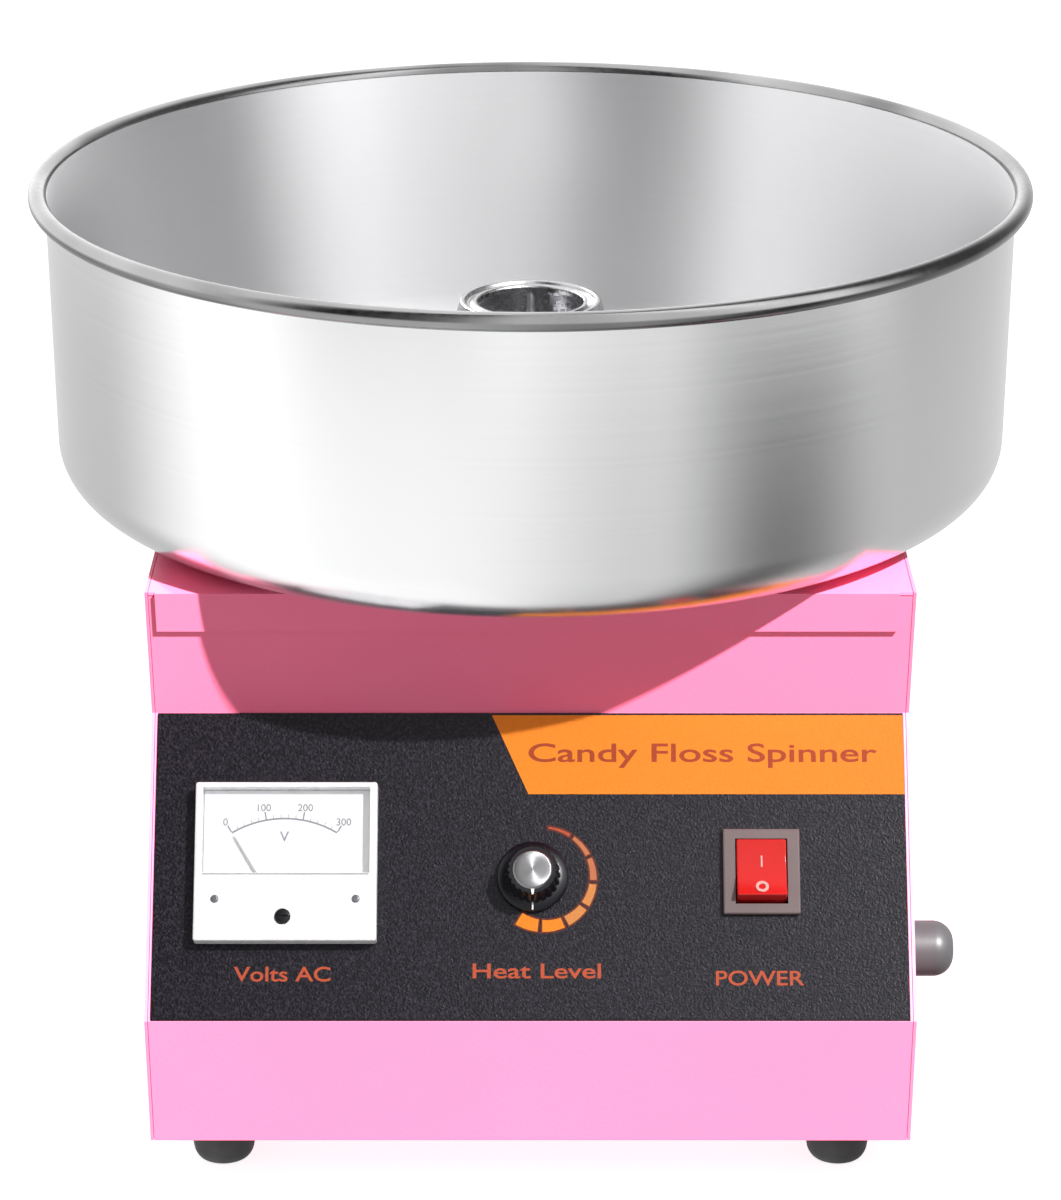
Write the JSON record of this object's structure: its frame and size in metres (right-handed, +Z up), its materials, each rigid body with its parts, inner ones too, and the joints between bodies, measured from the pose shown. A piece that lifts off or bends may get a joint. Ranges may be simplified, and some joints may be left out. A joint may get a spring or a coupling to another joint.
{
  "type": "cotton candy machine",
  "caption": "Countertop cotton candy machine: steel cabinet with sloping control panel, lift-off steel bowl and spinning heated head.",
  "frame": {"origin": "on the spinning head's axis, at the level the feet stand on", "axes": "+Z up along the head's axis, -Y towards the operator (the control panel faces -Y), +X to the right as the operator faces the panel"},
  "size_m": [0.5, 0.5, 0.4405],
  "materials": {
    "pink_powder_coat": "satin powder coat with a fine texture",
    "bowl_steel": "polished stainless steel with a spun grain",
    "plain_steel": "plain machined steel",
    "aluminium": "cast and turned aluminium",
    "panel_label": "printed label film with a leather grain",
    "black_rubber": "moulded rubber",
    "black_plastic": "moulded phenolic",
    "grey_plastic": "moulded plastic",
    "white_plastic": "moulded white plastic",
    "clear_acrylic": "clear moulded acrylic",
    "red_plastic": "translucent red plastic",
    "copper": "varnished copper winding",
    "brass": "turned brass",
    "carbon": "pressed carbon",
    "circuit_board": "solder-masked board",
    "glass": "clear glass tube"
  },
  "bodies": {
    "root": {"top_cover": "pink_powder_coat", "front_panel": "pink_powder_coat", "left_side_panel": "pink_powder_coat", "right_side_panel": "pink_powder_coat", "rear_panel": "pink_powder_coat", "base_plate": "pink_powder_coat", "control_label": "panel_label", "cord_gland": "black_rubber", "foot_front_left": "black_rubber", "foot_front_right": "black_rubber", "foot_rear_left": "black_rubber", "foot_rear_right": "black_rubber", "bowl_gasket": "black_rubber", "shaft_collar": "aluminium", "motor_bracket": "plain_steel", "motor_housing": "plain_steel", "motor_end_cover": "aluminium", "motor_stator": "copper", "upper_bearing": "plain_steel", "lower_bearing": "plain_steel", "upper_brush_holder": "black_plastic", "lower_brush_holder": "black_plastic", "upper_brush_spring": "plain_steel", "lower_brush_spring": "plain_steel", "meter_case": "white_plastic", "meter_dial": "white_plastic", "meter_window": "clear_acrylic", "potentiometer": "grey_plastic", "potentiometer_nut": "plain_steel", "switch_housing": "grey_plastic", "fuse_holder": "black_plastic", "controller_board": "circuit_board", "heatsink": "aluminium", "motor_capacitor": "grey_plastic", "terminal_block": "white_plastic"},
    "bowl": {"floss_bowl": "bowl_steel"},
    "rotor": {"motor_shaft": "plain_steel", "motor_armature": "plain_steel", "cooling_fan": "grey_plastic", "slip_ring_hub": "black_plastic", "upper_slip_ring": "brass", "lower_slip_ring": "brass", "head_base": "aluminium", "heater_ring": "plain_steel", "head_screen": "bowl_steel", "head_cap": "aluminium", "head_nut": "plain_steel", "head_post_1": "plain_steel", "head_post_2": "plain_steel", "head_post_3": "plain_steel"},
    "upper_brush": {"upper_carbon_brush": "carbon"},
    "lower_brush": {"lower_carbon_brush": "carbon"},
    "knob": {"potentiometer_shaft": "plain_steel", "temperature_knob": "black_plastic", "knob_cap": "aluminium"},
    "rocker": {"switch_rocker": "red_plastic"},
    "needle": {"meter_needle": "black_plastic"},
    "zero_screw": {"meter_zero_screw": "black_plastic"},
    "fuse_carrier": {"fuse_tube": "glass"},
    "fuse_cap": {"fuse_cap": "black_plastic"}
  },
  "joints": [
    {"name": "head_spin", "type": "hinge", "parent": "root", "child": "rotor", "pos_m": [0, 0, 0.2], "axis": [0, 0, 1], "continuous": true},
    {"name": "bowl_lift", "type": "slide", "parent": "root", "child": "bowl", "axis": [0, 0, 1], "range_m": [0, 0.12]},
    {"name": "temperature_turn", "type": "hinge", "parent": "root", "child": "knob", "pos_m": [0.001, -0.21257, 0.15305], "axis": [0, -0.811, 0.585], "range_deg": [-60, 210]},
    {"name": "switch_rock", "type": "hinge", "parent": "root", "child": "rocker", "pos_m": [0.1103, -0.20303, 0.14919], "axis": [1, 0, 0], "range_deg": [0, 20]},
    {"name": "needle_swing", "type": "hinge", "parent": "root", "child": "needle", "pos_m": [-0.1177, -0.22093, 0.13343], "axis": [0, 0.811, -0.585], "range_deg": [0, 62], "stiffness_Nm_per_rad": 0.0005, "springref_deg": -5.73},
    {"name": "zero_adjust", "type": "hinge", "parent": "root", "child": "zero_screw", "pos_m": [-0.1177, -0.22474, 0.13619], "axis": [0, -0.811, 0.585], "range_deg": [-30, 30]},
    {"name": "fuse_pull", "type": "slide", "parent": "root", "child": "fuse_carrier", "axis": [1, 0, 0], "range_m": [0, 0.05]},
    {"name": "fuse_cap_turn", "type": "hinge", "parent": "fuse_carrier", "child": "fuse_cap", "pos_m": [0.195, -0.15, 0.084], "axis": [1, 0, 0], "range_deg": [0, 60]},
    {"name": "upper_brush_feed", "type": "slide", "parent": "root", "child": "upper_brush", "axis": [-1, 0, 0], "range_m": [0, 0.004], "stiffness_N_per_m": 200, "springref_m": -0.01, "deforming": ["upper_brush_spring"]},
    {"name": "lower_brush_feed", "type": "slide", "parent": "root", "child": "lower_brush", "axis": [1, 0, 0], "range_m": [0, 0.004], "stiffness_N_per_m": 200, "springref_m": -0.01, "deforming": ["lower_brush_spring"]}
  ]
}
